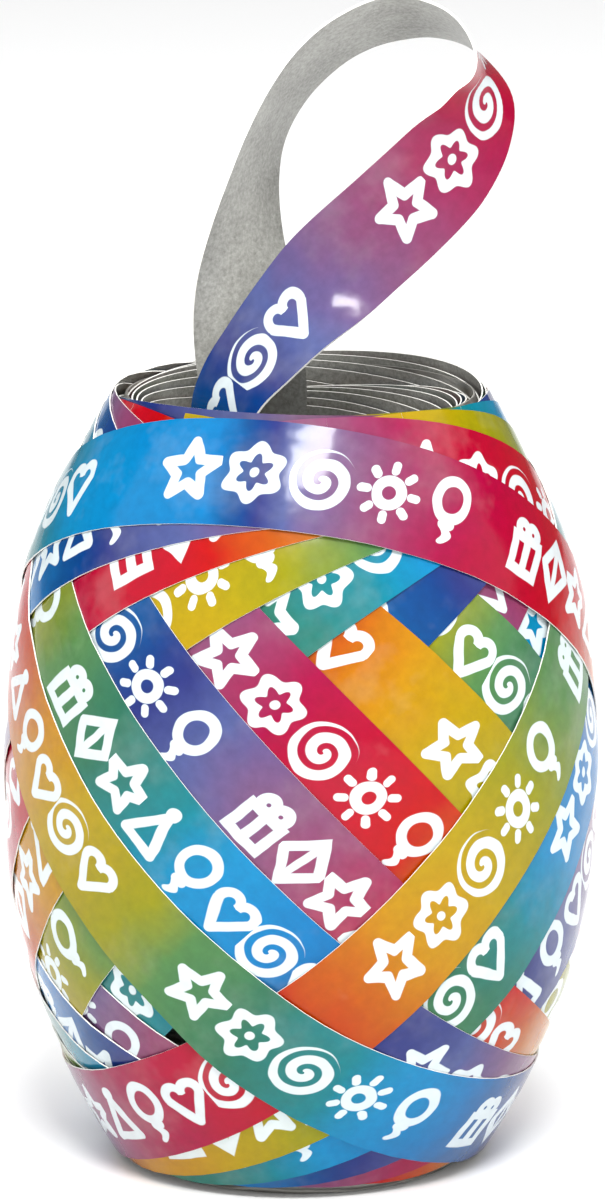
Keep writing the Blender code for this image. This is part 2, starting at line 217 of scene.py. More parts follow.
# %% [markdown]
# ## Laying each turn on what is already wound
#
# A ribbon that is bent one way stays straight the other way, so across its width it lies like
# a ruler on a barrel: the middle touches and the edges stand off a little. It also can't pass
# through the turns under it. A cloth solver would need far too many vertices for a tape a tenth
# of a millimetre thick, so the laying is done directly. A grid over the barrel remembers how
# high the wound ribbon stands everywhere. Each new stretch starts snug, is lifted where the grid
# says something is in its way, is pulled straight over short dips, and is then added to the grid.

# %% The grid of what is already wound
POINTS_ACROSS = 7
STIFF_ACROSS = 0.42
LAY_GAP = 0.00002
TAUT_SAG = 0.00005
TAUT_ROUNDS = 25
BEND_ACROSS = 0.00003
SETTLE_STATIONS = 5.0
STATIONS_AHEAD = 4


class LaidSurface:
    """A grid round the barrel that holds how high the wound ribbon stands in each cell."""

    CELLS_ROUND = 900
    CELL_HEIGHT = 0.00022

    def __init__(self):
        self.rows = int(EGG_HEIGHT * 1.2 / self.CELL_HEIGHT)
        self.top = np.zeros((self.CELLS_ROUND, self.rows))

    def cells(self, points):
        above, foot = core_distance(np.hypot(points[..., 0], points[..., 1]), points[..., 2])
        azimuth = np.arctan2(points[..., 0], -points[..., 1])
        column = np.round(azimuth / math.tau * self.CELLS_ROUND).astype(int) % self.CELLS_ROUND
        row = np.round(foot / self.CELL_HEIGHT).astype(int) + self.rows // 2
        return column, np.clip(row, 0, self.rows - 1), above

    def need(self, points):
        column, row, above = self.cells(points)
        return self.top[column, row] - above

    def add(self, points, thickness):
        column, row, above = self.cells(points)
        np.maximum.at(self.top, (column, row), above + thickness)


FINE_ALONG = np.linspace(0, 1, 13)[:, None, None]
FINE_ACROSS = np.linspace(0, 1, 10)[None, :, None]


def facet(grid, i, j):
    """Points spread over one facet of a ribbon's grid of points."""
    low = grid[i, j] * (1 - FINE_ACROSS) + grid[i, j + 1] * FINE_ACROSS
    high_side = grid[i + 1, j] * (1 - FINE_ACROSS) + grid[i + 1, j + 1] * FINE_ACROSS
    return low * (1 - FINE_ALONG) + high_side * FINE_ALONG


def ribbon_rows(azimuth, height):
    """Snug points across the ribbon, their normals, and how far a straight ribbon stands off."""
    centre = around(azimuth, core_radius(height), height)
    _, outward = on_core(centre)
    along = np.gradient(centre, axis=0)
    along /= np.linalg.norm(along, axis=1, keepdims=True)
    width = np.cross(along, outward)
    across = np.linspace(-1, 1, POINTS_ACROSS)[None, :, None] * RIBBON_WIDTH / 2
    straight = centre[:, None] + across * width[:, None]
    above, _ = core_distance(np.hypot(straight[..., 0], straight[..., 1]), straight[..., 2])
    snug, normals = on_core(straight)
    return snug, normals, above


def pull_taut(lift):
    """A taut ribbon spans short dips along its length, and bends only a little across."""
    for _ in range(TAUT_ROUNDS):
        lift[1:-1] = np.maximum(lift[1:-1], (lift[:-2] + lift[2:]) / 2 - TAUT_SAG)
        lift[:, 1:-1] = np.maximum(lift[:, 1:-1], (lift[:, :-2] + lift[:, 2:]) / 2 - BEND_ACROSS)
    return lift


def lay(azimuth, height):
    """The rows of points of the whole winding, laid pass by pass, and each point's lift."""
    snug, normals, above = ribbon_rows(azimuth, height)
    count = len(azimuth)
    lift = np.zeros((count, POINTS_ACROSS))
    laid = LaidSurface()
    before = np.zeros_like(laid.top)
    for start in range(0, count - 1, STATIONS):
        stop = min(start + STATIONS, count - 1)
        reach = min(stop + STATIONS_AHEAD, count - 1)
        new = STIFF_ACROSS * above[start : reach + 1].copy()
        now = laid.top
        for i in range(start, reach):
            laid.top = before if i < start + STATIONS_AHEAD else now
            for j in range(POINTS_ACROSS - 1):
                need = laid.need(facet(snug, i, j)).max()
                corner = new[i - start : i - start + 2, j : j + 2]
                np.maximum(corner, need, out=corner)
        laid.top = now
        new = pull_taut(new)
        first = 0 if start == 0 else 1
        if first:
            ease = np.exp(-np.arange(len(new)) / SETTLE_STATIONS)[:, None]
            new += np.maximum(lift[start] - new[0], 0) * ease
        lift[start + first : stop + 1] = new[first : stop - start + 1]
        before = laid.top.copy()
        grid = snug + normals * lift[..., None]
        for i in range(start, stop):
            for j in range(POINTS_ACROSS - 1):
                laid.add(facet(grid, i, j), RIBBON_THICKNESS + LAY_GAP)
    return snug + normals * lift[..., None], lift


laid_rows, lifts = lay(turn, high)
laid_rows = laid_rows + np.array([0, 0, HALF_HEIGHT])
widest = float(np.hypot(laid_rows[..., 0], laid_rows[..., 1]).max())
print("highest lift in mm:", round(float(lifts.max()) / MM, 2))
print("widest radius in mm:", round(widest / MM, 2))

# %% [markdown]
# ## Sums with nodes
#
# The print on the film is drawn with shader nodes, so it stays sharp at any size and needs no
# picture. Writing long chains of Math nodes by hand is slow to read. This small class lets
# Python's own signs add the nodes: `a + b` makes an Add node, `abs(a)` an Absolute node.

# %% A small helper for node sums


class Field:
    """A value travelling between nodes. Each sum on it adds one Math node."""

    def __init__(self, tree, socket):
        self.tree = tree
        self.socket = socket

    def math(self, operation, *others):
        node = self.tree.nodes.new("ShaderNodeMath")
        node.operation = operation
        for slot, item in zip(node.inputs, (self, *others)):
            if isinstance(item, Field):
                self.tree.links.new(item.socket, slot)
            else:
                slot.default_value = item
        return Field(self.tree, node.outputs[0])

    def __add__(self, other):
        return self.math("ADD", other)

    def __sub__(self, other):
        return self.math("SUBTRACT", other)

    def __mul__(self, other):
        return self.math("MULTIPLY", other)

    def __truediv__(self, other):
        return self.math("DIVIDE", other)

    def __abs__(self):
        return self.math("ABSOLUTE")

    def least(self, other):
        return self.math("MINIMUM", other)

    def most(self, other):
        return self.math("MAXIMUM", other)

    def ease(self, start, end):
        """0 before start, 1 after end, smooth between."""
        node = self.tree.nodes.new("ShaderNodeMapRange")
        node.interpolation_type = "SMOOTHSTEP"
        self.tree.links.new(self.socket, node.inputs["Value"])
        node.inputs["From Min"].default_value = start
        node.inputs["From Max"].default_value = end
        return Field(self.tree, node.outputs["Result"])


def distance(x, y, x0=0.0, y0=0.0):
    dx, dy = x - x0, y - y0
    return (dx * dx + dy * dy).math("SQRT")


def to_stroke(x, y, x0, y0, x1, y1):
    """Distance from a point to the straight stroke between two points."""
    run_x, run_y = x1 - x0, y1 - y0
    dx, dy = x - x0, y - y0
    share = (dx * run_x + dy * run_y) / (run_x**2 + run_y**2)
    share = share.most(0.0).least(1.0)
    return distance(dx - share * run_x, dy - share * run_y)


def new_group(name, inputs, outputs):
    """An empty node group, with the nodes that hold its inputs and its outputs."""
    tree = bpy.data.node_groups.new(name, "ShaderNodeTree")
    for label, kind in inputs:
        tree.interface.new_socket(label, in_out="INPUT", socket_type=kind)
    for label, kind in outputs:
        tree.interface.new_socket(label, in_out="OUTPUT", socket_type=kind)
    source = tree.nodes.new("NodeGroupInput")
    result = tree.nodes.new("NodeGroupOutput")
    return tree, source, result


def axes(tree, vector):
    """The three parts of a vector, each as a Field."""
    split = tree.nodes.new("ShaderNodeSeparateXYZ")
    tree.links.new(vector, split.inputs[0])
    return [Field(tree, part) for part in split.outputs]


def noise(tree, vector, scale, detail=2.0, roughness=0.5):
    node = tree.nodes.new("ShaderNodeTexNoise")
    node.inputs["Scale"].default_value = scale
    node.inputs["Detail"].default_value = detail
    node.inputs["Roughness"].default_value = roughness
    tree.links.new(vector, node.inputs["Vector"])
    return Field(tree, node.outputs["Fac"])


def linear(red, green, blue):
    """A screen colour, 0 to 255, as the linear colour that a shader works with."""
    values = [c / 255 for c in (red, green, blue)]
    return [c / 12.92 if c <= 0.04045 else ((c + 0.055) / 1.055) ** 2.4 for c in values] + [1]


# %% [markdown]
# ## The white party drawings
#
# The real ribbon carries hand-lettered words. Here they are small party drawings in the same
# rhythm: five wide ones, a gap, eight narrow ones, a gap. Each drawing is a formula for the
# distance to its pen stroke, so one threshold turns it into a line of even width with round
# ends. Folding the left half onto the right (`abs(x)`) halves the work for a balanced shape.

# %% Party drawings
PEN_HALF_WIDTH = 0.50
SLANT = 0.12
WOBBLE_ALONG, WOBBLE_ACROSS = 0.7, 0.6
OUT_OF_REACH = 9.0
WIDE_PITCH, NARROW_PITCH = 6.1, 5.15
WIDE_SLOTS, NARROW_SLOTS = 5, 8
SHORT_GAP, LONG_GAP = 4.3, 9.0
DRAWING_PERIOD = WIDE_SLOTS * WIDE_PITCH + SHORT_GAP + NARROW_SLOTS * NARROW_PITCH + LONG_GAP


def star(x, y):
    reach = distance(x, y)
    turned = x.math("ARCTAN2", y).math("PINGPONG", math.radians(36))
    return to_stroke(
        reach * turned.math("SINE"), reach * turned.math("COSINE"), 0.0, 2.7, 0.72, 0.98
    )


def balloon(x, y):
    skin = abs(distance(x / 1.6, (y - 0.95) / 1.85) - 1.0) * 1.7
    knot = to_stroke(abs(x), y, 0.0, -1.0, 0.35, -1.45)
    string = to_stroke(x + (y * 3.2).math("SINE") * 0.28, y, 0.0, -1.4, 0.0, -2.9)
    return skin.least(knot).least(string)


def heart(x, y):
    side = abs(x)
    inside = ((side * -1.0) + 1.0).most(0.0).least(((y * -1.0) + 0.8).most(0.0))
    below = ((y * -1.0) + 0.45).most(0.0)
    lobe = abs(distance(side, y, 1.0, 0.8) - 1.0) + (inside + below) * 6.0
    return lobe.least(to_stroke(side, y, 1.92, 0.4, 0.0, -2.4))


def swirl(x, y):
    pitch = 1.62
    wound = distance(x, y) / pitch - x.math("ARCTAN2", y) / math.tau
    near = abs(wound - wound.math("ROUND")) * pitch
    return near.most(distance(x, y) - 2.45)


def party_hat(x, y):
    side = abs(x)
    slope = to_stroke(side, y, 0.0, 1.9, 1.85, -2.3)
    brim = to_stroke(side, y, 0.0, -2.3, 1.85, -2.3)
    tuft = distance(x, y, 0.0, 2.35) - 0.25
    return slope.least(brim).least(tuft)


def gift_box(x, y):
    side = abs(x)
    wall = (side - 1.8).most(abs(y + 0.85) - 1.6)
    tie = side.most(wall)
    bow = abs(distance(side, y, 0.75, 1.6) - 0.7)
    return abs(wall).least(tie).least(bow)


def kite(x, y):
    edge = (abs(x) * 0.85 + abs(y) * 0.66 - 1.75) * 0.93
    spars = (abs(x) + 0.12).most(edge)
    return abs(edge).least(spars)


def sun(x, y):
    reach = distance(x, y)
    turned = x.math("ARCTAN2", y).math("PINGPONG", math.radians(22.5))
    ray = to_stroke(reach * turned.math("SINE"), reach * turned.math("COSINE"), 0.0, 2.1, 0.0, 2.6)
    return abs(reach - 1.15).least(ray * 1.25)


def flower(x, y):
    reach = distance(x, y)
    petals = (x.math("ARCTAN2", y) * 6.0).math("COSINE") * 0.34
    outline = abs(reach - petals - 2.0) * 0.82
    return outline.least(reach + 0.05)


DRAWINGS = {
    star: (0, 7),
    flower: (1,),
    swirl: (2, 11),
    sun: (3,),
    balloon: (4, 9),
    gift_box: (5,),
    kite: (6,),
    party_hat: (8,),
    heart: (10, 12),
}


def party_drawings():
    vector, number = "NodeSocketVector", "NodeSocketFloat"
    tree, source, result = new_group("party_drawings", [("Print", vector)], [("Ink", number)])
    place_along, place_across, _ = axes(tree, source.outputs["Print"])
    wobble = noise(tree, source.outputs["Print"], 2.2) - 0.5
    along = place_along * 10.0
    across = (place_across - 0.5) * 10.0
    run = along.math("WRAP", DRAWING_PERIOD, 0.0)
    late = run.math("GREATER_THAN", WIDE_SLOTS * WIDE_PITCH + SHORT_GAP / 2)
    narrow_run = run - (WIDE_SLOTS * WIDE_PITCH + SHORT_GAP)
    wide_slot = (run / WIDE_PITCH).math("FLOOR").least(WIDE_SLOTS - 0.5)
    narrow_slot = (narrow_run / NARROW_PITCH).math("FLOOR").most(0.0)
    wide_x = run - (wide_slot + 0.5) * WIDE_PITCH
    narrow_x = narrow_run - (narrow_slot + 0.5) * NARROW_PITCH
    x = wide_x + (narrow_x - wide_x) * late
    slot = wide_slot + (narrow_slot + WIDE_SLOTS - wide_slot) * late
    x = x - across * SLANT + wobble * WOBBLE_ALONG
    y = across + wobble * WOBBLE_ACROSS
    pen = None
    for drawing, slots in DRAWINGS.items():
        here = None
        for k in slots:
            match = slot.math("COMPARE", float(k), 0.1)
            here = match if here is None else here + match
        reach = drawing(x, y) + (here * -OUT_OF_REACH + OUT_OF_REACH)
        pen = reach if pen is None else pen.least(reach)
    ink = (pen * -1.0 + PEN_HALF_WIDTH).ease(-0.05, 0.07)
    tree.links.new(ink.socket, result.inputs["Ink"])
    return tree


drawings_group = party_drawings()
print("drawing nodes:", len(drawings_group.nodes), "period in mm:", round(DRAWING_PERIOD, 1))

# %% [markdown]
# ## The watercolour rainbow
#
# The colour runs through the whole rainbow and back to red over about fifteen centimetres of
# ribbon. It looks painted: the borders between colours wander, and each colour has lighter and
# darker blooms. Noise moves the place where the ramp is read, and more noise tints the result.

# %% Rainbow colours
COLOUR_PERIOD = PASS_LENGTH / 0.9375
PAINT_DEPTH = 0.54
PAINT_GRAIN = 0.22
PALE_SHARE = 0.11
BLOOM_SHIFT, BORDER_SHIFT = 0.10, 0.03
RAINBOW = (
    (0.00, linear(196, 28, 50)),
    (0.05, linear(203, 48, 48)),
    (0.10, linear(205, 104, 50)),
    (0.15, linear(212, 150, 36)),
    (0.21, linear(198, 166, 30)),
    (0.29, linear(160, 160, 52)),
    (0.35, linear(98, 146, 88)),
    (0.42, linear(60, 124, 98)),
    (0.48, linear(50, 140, 150)),
    (0.54, linear(36, 150, 208)),
    (0.61, linear(30, 132, 200)),
    (0.66, linear(18, 84, 150)),
    (0.71, linear(60, 66, 132)),
    (0.76, linear(96, 106, 160)),
    (0.83, linear(136, 92, 130)),
    (0.90, linear(168, 66, 100)),
    (0.96, linear(190, 36, 66)),
    (1.00, linear(196, 28, 50)),
)


def watercolour_rainbow():
    vector, colour = "NodeSocketVector", "NodeSocketColor"
    inputs = [("Print", vector), ("Turns of colour", "NodeSocketFloat")]
    tree, source, result = new_group("watercolour_rainbow", inputs, [("Colour", colour)])
    here = source.outputs["Print"]
    blooms = noise(tree, here, 0.55, 3.0, 0.55)
    wander = noise(tree, here, 1.6, 3.0, 0.6)
    phase = Field(tree, source.outputs["Turns of colour"])
    phase = phase + (blooms - 0.5) * BLOOM_SHIFT + (wander - 0.5) * BORDER_SHIFT
    phase = phase.math("FRACT")
    ramp = tree.nodes.new("ShaderNodeValToRGB")
    tree.links.new(phase.socket, ramp.inputs[0])
    stops = ramp.color_ramp.elements
    stops.remove(stops[-1])
    stops[0].position, stops[0].color = RAINBOW[0]
    for place, tint in RAINBOW[1:]:
        stops.new(place).color = tint
    pale = noise(tree, here, 0.9, 4.0, 0.62).ease(0.46, 0.72)
    lighten = tree.nodes.new("ShaderNodeMix")
    lighten.data_type = "RGBA"
    lighten.inputs[7].default_value = linear(235, 232, 225)
    tree.links.new((pale * PALE_SHARE).socket, lighten.inputs[0])
    tree.links.new(ramp.outputs[0], lighten.inputs[6])
    grain = noise(tree, here, 9.0, 3.0, 0.6)
    tone = tree.nodes.new("ShaderNodeHueSaturation")
    tone.inputs["Saturation"].default_value = 1.10
    tree.links.new(((grain - 0.5) * PAINT_GRAIN + PAINT_DEPTH).socket, tone.inputs["Value"])
    tree.links.new(lighten.outputs[2], tone.inputs["Color"])
    tree.links.new(tone.outputs[0], result.inputs["Colour"])
    return tree


rainbow_group = watercolour_rainbow()
print("rainbow in mm of ribbon:", round(COLOUR_PERIOD / MM, 1), "colour stops:", len(RAINBOW))

# %% [markdown]
# ## The finishes
#
# The printed side is a glossy film: a plastic with a smooth face and very faint waves. The
# reverse is bare film with a fine grain. The cut edge is the white of the film itself.

# %% Film, reverse and cut edge


def new_material(name):
    material = bpy.data.materials.new(name)
    material.use_nodes = True
    tree = material.node_tree
    return material, tree, tree.nodes["Principled BSDF"]


def add_bump(tree, shader, height, strength, reach):
    bump = tree.nodes.new("ShaderNodeBump")
    bump.inputs["Strength"].default_value = strength
    bump.inputs["Distance"].default_value = reach
    tree.links.new(height.socket, bump.inputs["Height"])
    tree.links.new(bump.outputs[0], shader.inputs["Normal"])


def object_place(tree):
    return tree.nodes.new("ShaderNodeTexCoord").outputs["Object"]


def two_tones(tree, shader, value, dark, light, start=0.0, end=1.0):
    """Colours the shader from dark to light as the value goes from start to end."""
    ramp = tree.nodes.new("ShaderNodeValToRGB")
    tree.links.new(value.socket, ramp.inputs[0])
    low, high_stop = ramp.color_ramp.elements
    low.position, low.color = start, dark
    high_stop.position, high_stop.color = end, light
    tree.links.new(ramp.outputs[0], shader.inputs["Base Color"])


def print_place(tree):
    node = tree.nodes.new("ShaderNodeUVMap")
    node.uv_map = "print"
    return node.outputs[0]


def printed_film_material():
    material, tree, shader = new_material("printed_film")
    here = print_place(tree)
    paint = tree.nodes.new("ShaderNodeGroup")
    paint.node_tree = rainbow_group
    pen = tree.nodes.new("ShaderNodeGroup")
    pen.node_tree = drawings_group
    tree.links.new(here, paint.inputs["Print"])
    tree.links.new(here, pen.inputs["Print"])
    colour_turns = tree.nodes.new("ShaderNodeAttribute")
    colour_turns.attribute_name = "colour_turns"
    tree.links.new(colour_turns.outputs["Fac"], paint.inputs["Turns of colour"])
    worn = noise(tree, here, 7.0, 3.0) * 0.25 + 0.80
    ink = Field(tree, pen.outputs[0]) * worn
    mix = tree.nodes.new("ShaderNodeMix")
    mix.data_type = "RGBA"
    tree.links.new(ink.socket, mix.inputs[0])
    tree.links.new(paint.outputs[0], mix.inputs[6])
    mix.inputs[7].default_value = linear(196, 206, 208)
    tree.links.new(mix.outputs[2], shader.inputs["Base Color"])
    shader.inputs["Roughness"].default_value = 0.13
    shader.inputs["IOR"].default_value = 1.3
    add_bump(tree, shader, noise(tree, here, 1.1, 3.0), 0.3, 0.0007)
    return material


def reverse_film_material():
    material, tree, shader = new_material("reverse_film")
    place = object_place(tree)
    grain = noise(tree, place, 2600.0, 3.0, 0.7)
    cloud = noise(tree, place, 160.0, 3.0, 0.6)
    tone = grain * 0.32 + cloud * 0.20
    two_tones(tree, shader, tone, linear(96, 95, 90), linear(176, 176, 170), 0.14, 0.40)
    shader.inputs["Roughness"].default_value = 0.42
    add_bump(tree, shader, grain, 0.35, 0.0001)
    return material


def cut_edge_material():
    material, tree, shader = new_material("cut_edge")
    tone = noise(tree, object_place(tree), 900.0)
    two_tones(tree, shader, tone, linear(214, 212, 206), linear(246, 245, 240))
    shader.inputs["Roughness"].default_value = 0.5
    return material


printed_film = printed_film_material()
reverse_film = reverse_film_material()
cut_edge = cut_edge_material()
print("finishes:", [m.name for m in (printed_film, reverse_film, cut_edge)])

# %% [markdown]
# ## From rows of points to ribbon
#
# No hand-placed edit could follow a winding that is worked out step by step, so the mesh comes
# from the rows of points. A strip of faces joins them, its print coordinates go into a UV map
# (`u` along and `v` across, both in ribbon widths), and a Solidify modifier gives it the
# film's thickness. The modifier's material offsets put the reverse on the inside and the white
# film on the rim. The modifier is applied, so the finished piece is a plain closed mesh.

# %% Ribbon strips
SHARP_ANGLE = math.radians(40)


def apply_modifier(piece, name):
    bpy.ops.object.select_all(action="DESELECT")
    bpy.context.view_layer.objects.active = piece
    piece.select_set(True)
    bpy.ops.object.modifier_apply(modifier=name)


def ribbon_piece(name, strips, thickness=RIBBON_THICKNESS, side=1.0):
    """One object from strips: each a grid of points, its print coordinate and turns of colour."""
    verts, faces, print_at, colour_at = [], [], [], []
    for grid, u, turns_of_colour in strips:
        rows, across = grid.shape[:2]
        index = np.arange(rows * across).reshape(rows, across) + len(verts)
        quads = np.stack([index[:-1, :-1], index[:-1, 1:], index[1:, 1:], index[1:, :-1]], -1)
        verts.extend(grid.reshape(-1, 3).tolist())
        faces.extend(quads.reshape(-1, 4).tolist())
        v = np.linspace(1, 0, across) if u[-1] > u[0] else np.linspace(0, 1, across)
        print_at.extend(np.stack(np.broadcast_arrays(u[:, None], v[None]), -1).reshape(-1, 2))
        colour_at.extend(np.repeat(turns_of_colour, across))
    mesh = bpy.data.meshes.new(name)
    mesh.from_pydata(verts, [], faces)
    print_at = np.array(print_at, dtype=np.float32)
    corners = np.zeros(len(mesh.loops), dtype=np.int32)
    mesh.loops.foreach_get("vertex_index", corners)
    layer = mesh.uv_layers.new(name="print")
    layer.data.foreach_set("uv", print_at[corners].ravel())
    held = mesh.attributes.new("colour_turns", "FLOAT", "POINT")
    held.data.foreach_set("value", np.array(colour_at, dtype=np.float32))
    for material in (printed_film, reverse_film, cut_edge):
        mesh.materials.append(material)
    piece = bpy.data.objects.new(name, mesh)
    bpy.context.scene.collection.objects.link(piece)
    wall = piece.modifiers.new("film", "SOLIDIFY")
    wall.thickness = thickness
    wall.offset = side
    wall.material_offset = 1
    wall.material_offset_rim = 2
    apply_modifier(piece, "film")
    piece.data.shade_smooth()
    piece.data.set_sharp_from_angle(angle=SHARP_ANGLE)
    return piece


# %% [markdown]
# ## The wraps that show
#
# The laid winding is cut into thirteen wraps, one object each, so that a wrap can be picked out
# and looked at alone. The print runs on from each wrap to the next. A printed rainbow doesn't
# repeat quite evenly, so a slow drift along the winding is added to the colour's place.

# %% The visible wraps
COLOUR_AT_LAST_CREST = 0.60
DRAWING_START = -7.2
FIRST_PRINT_PLACE = 40 * DRAWING_PERIOD
WRAPS = HALF_PASSES // 2
DRIFT_PASSES = (
    *(0, 8.5, 10.5, 12.5, 16.5, 18.5, 20.5, 22.5, 24.5),
    *(25.5, 25.93, 25.98, 26.05, 26.12, 27),
)
COLOUR_DRIFT = (0, 0.09, 0.09, 0.10, 0.15, 0.08, 0.05, 0, 0, 0.12, 0.05, 0.03, 0.14, 0.18, 0.10)

last_crest = (HALF_PASSES - 1) * STATIONS
from_crest = (along_ribbon - along_ribbon[last_crest]) / RIBBON_WIDTH
print_place_along = from_crest + (FIRST_PRINT_PLACE - DRAWING_START) / 10
colour_drift = np.interp(along_ribbon / PASS_LENGTH, DRIFT_PASSES, COLOUR_DRIFT)
colour_turns = from_crest * RIBBON_WIDTH / COLOUR_PERIOD + COLOUR_AT_LAST_CREST + colour_drift
per_wrap = 2 * STATIONS
ribbon_turns = []
for k in range(WRAPS):
    outermost = k == WRAPS - 1
    first = k * per_wrap
    last = len(turn) - 1 if outermost else first + per_wrap
    part = slice(first, last + 1)
    strip = laid_rows[part], print_place_along[part], colour_turns[part]
    piece = ribbon_piece(f"ribbon_turn_{k + 1:02d}", [strip])
    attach(piece, "egg")
    replaced = ["outer_turn_13", "outer_turn_14"] if outermost else [f"outer_turn_{k + 1:02d}"]
    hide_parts(*replaced)
    ribbon_turns.append(piece)
print("turns:", len(ribbon_turns), "faces:", sum(len(p.data.polygons) for p in ribbon_turns))

# %% [markdown]
# ## The mouth and the deeper turns
#
# The egg has no core, so its upper end is an open mouth. Every wrap under the visible ones
# turned back here too, each a little lower and further in than the next. From above they show
# as a stair of long shallow arcs: the grey reverse of the ribbon with a thin white edge. Each
# arc is laid on its own cone, so that no two of them can cut each other.

# %% Arcs in the mouth
MOUTH_RADIUS = 0.0166
MOUTH_TOP = EGG_HEIGHT - 0.0002
INNER_PIECES = 8
ARCS_PER_PIECE = 4
ARC_STEP_IN = 0.000197
ARC_STEP_DOWN = 0.00021
ARC_LEAN = math.radians(11)
ARC_HALF_SPAN = math.radians(118)
ARC_DROP = 0.0012
ARC_RIPPLE = 0.00008
ARC_STATIONS, ARC_POINTS_ACROSS = 56, 4
CREST_TO_CREST = math.radians(167.8)
FIRST_ARC_AZIMUTH = math.radians(150)
rng = np.random.default_rng(7)


def mouth_arc(number):
    """One arc: it dips on both sides of its crest and leans outwards as it goes down."""
    share = np.linspace(-1, 1, ARC_STATIONS)
    crest = FIRST_ARC_AZIMUTH - number * CREST_TO_CREST
    azimuth = crest + share * ARC_HALF_SPAN
    drop = ARC_DROP * (1 + 0.25 * rng.uniform(-1, 1)) * (share * 1.6) ** 2
    drop += ARC_RIPPLE * np.sin(share * 7 + number)
    top = MOUTH_TOP - number * ARC_STEP_DOWN - drop
    out = MOUTH_RADIUS - number * ARC_STEP_IN + drop * math.tan(ARC_LEAN)
    across = np.linspace(0, 1, ARC_POINTS_ACROSS)[None, :] * RIBBON_WIDTH
    radius = out[:, None] + across * math.sin(ARC_LEAN)
    height = top[:, None] - across * math.cos(ARC_LEAN)
    grid = around(azimuth[:, None], radius, height)
    u = (azimuth - azimuth[0]) * MOUTH_RADIUS / RIBBON_WIDTH + number * 3.1 + 60
    return grid, u, u * RIBBON_WIDTH / COLOUR_PERIOD


for k in range(INNER_PIECES):
    arcs = [mouth_arc(k * ARCS_PER_PIECE + n) for n in range(ARCS_PER_PIECE)]
    piece = ribbon_piece(f"mouth_turns_{k + 1:02d}", arcs)
    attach(piece, "egg")
    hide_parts(f"inner_turn_{k + 1:02d}")
print("arcs in the mouth:", INNER_PIECES * ARCS_PER_PIECE)

# %% [markdown]
# ## The first turn and the hanging loop
#
# The very first turn lies free against the wall of the hollow. The end of the ribbon then
# stands up out of the mouth, bends over to the right in a teardrop, half twists, and goes back
# down in front of itself, so that the egg can hang from it. The loop's own curve starts and
# ends just inside the mouth, and two straight legs carry on down from there.

# %% The innermost turn
HOLLOW_WALL = 0.0095
LEAD_LOW, LEAD_HIGH = 0.0160, 0.0400
LEAD_START = math.radians(-60)
LEAD_STATIONS = 90
share = np.linspace(0, 1, LEAD_STATIONS)
azimuth = LEAD_START + share * math.tau
centre_height = LEAD_LOW + share * (LEAD_HIGH - LEAD_LOW)
slant = math.atan2((LEAD_HIGH - LEAD_LOW) / math.tau, HOLLOW_WALL)
across = np.linspace(-1, 1, 5)[None, :] * RIBBON_WIDTH / 2
grid = around(
    azimuth[:, None] + across * math.sin(slant) / HOLLOW_WALL,
    HOLLOW_WALL,
    centre_height[:, None] - across * math.cos(slant),
)
lead = ribbon_piece("first_turn", [(grid, share * 6.4 + 30, share * 0.43)])
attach(lead, "egg")
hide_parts("innermost_turn")
print("first turn in mm:", [round(c / MM, 1) for c in lead.dimensions])

# %% The hanging loop
LEG_X = -0.0044
LEG_BACK_Y = 0.0008
LEG_BOTTOM = 0.0507
LEG_STATIONS = 12
LOOP_PATH = (
    ((-0.0044, 0.0008, 0.0670), (-1.00, 0.00, 0.00)),
    ((-0.0044, 0.0008, 0.0700), (-1.00, 0.00, 0.00)),
    ((-0.0044, 0.0008, 0.0730), (-1.00, 0.00, 0.00)),
    ((-0.0048, 0.0011, 0.0765), (-1.00, -0.05, 0.00)),
    ((-0.0051, 0.0016, 0.0815), (-0.93, -0.36, 0.05)),
    ((-0.0051, 0.0021, 0.0865), (-0.70, -0.70, 0.12)),
    ((-0.0045, 0.0024, 0.0913), (-0.48, -0.86, 0.16)),
    ((-0.0034, 0.0026, 0.0956), (-0.32, -0.90, 0.26)),
    ((-0.0016, 0.0027, 0.0993), (-0.22, -0.89, 0.38)),
    ((0.0008, 0.0027, 0.1025), (-0.16, -0.87, 0.46)),
    ((0.0043, 0.0025, 0.1054), (-0.10, -0.86, 0.50)),
    ((0.0090, 0.0023, 0.1071), (-0.02, -0.86, 0.51)),
    ((0.0132, 0.0020, 0.1065), (0.05, -0.93, 0.36)),
    ((0.0160, 0.0016, 0.1043), (-0.10, -0.96, 0.24)),
    ((0.0172, 0.0010, 0.1010), (-0.40, -0.80, 0.45)),
    ((0.0160, 0.0001, 0.0971), (-0.67, -0.62, 0.41)),
    ((0.0132, -0.0009, 0.0936), (-0.84, -0.27, 0.47)),
    ((0.0088, -0.0019, 0.0893), (-0.72, -0.02, 0.69)),
    ((0.0046, -0.0027, 0.0856), (-0.77, 0.10, 0.63)),
    ((-0.0007, -0.0036, 0.0805), (-0.66, 0.59, 0.47)),
    ((-0.0037, -0.0042, 0.0771), (-0.56, 0.72, 0.38)),
    ((-0.0061, -0.0046, 0.0741), (-0.50, 0.80, 0.30)),
    ((-0.0073, -0.0047, 0.0712), (-0.52, 0.81, 0.20)),
    ((-0.0066, -0.0040, 0.0683), (-0.72, 0.67, 0.10)),
    ((-0.0053, -0.0024, 0.0650), (-0.92, 0.38, 0.00)),
    ((-0.0045, -0.0010, 0.0616), (-1.00, 0.00, 0.00)),
)


CURVE_POINTS, CURVE_ROUNDS = 1500, 120
LOOP_STATIONS = 260


